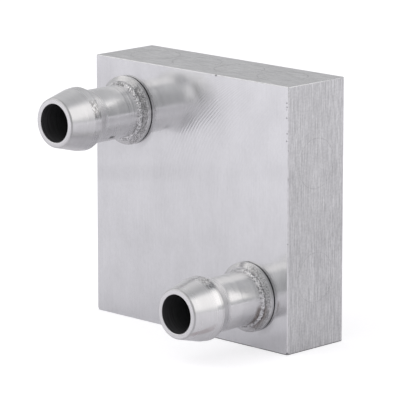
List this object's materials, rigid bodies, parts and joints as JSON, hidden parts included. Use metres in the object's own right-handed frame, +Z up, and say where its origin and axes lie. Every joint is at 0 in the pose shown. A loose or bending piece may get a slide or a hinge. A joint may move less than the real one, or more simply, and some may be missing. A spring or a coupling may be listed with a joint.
{
  "type": "cpu water block",
  "caption": "Square aluminium liquid-cooling block for a processor, with flush plugged galleries and hose barbs that stand out of opposite corners of its front.",
  "frame": {"origin": "centre of the contact face, the flat back that lies on the processor", "axes": "+Y out of the contact face, away from the nozzles; +Z up as it stands on its lower narrow side; +X to the plugged right side"},
  "size_m": [0.04, 0.0272, 0.04],
  "materials": {
    "milled_aluminium": "fine milled and brushed",
    "turned_aluminium": "bright turned",
    "plug_aluminium": "brushed flush with the face",
    "braze_filler": "rough, pitted filler"
  },
  "bodies": {
    "root": {"block_body": "milled_aluminium", "inlet_nozzle": "turned_aluminium", "outlet_nozzle": "turned_aluminium", "inlet_braze_ring": "braze_filler", "outlet_braze_ring": "braze_filler", "top_plug_1": "plug_aluminium", "top_plug_2": "plug_aluminium", "top_plug_3": "plug_aluminium", "top_plug_4": "plug_aluminium", "side_plug_1": "plug_aluminium", "side_plug_2": "plug_aluminium"}
  },
  "joints": []
}
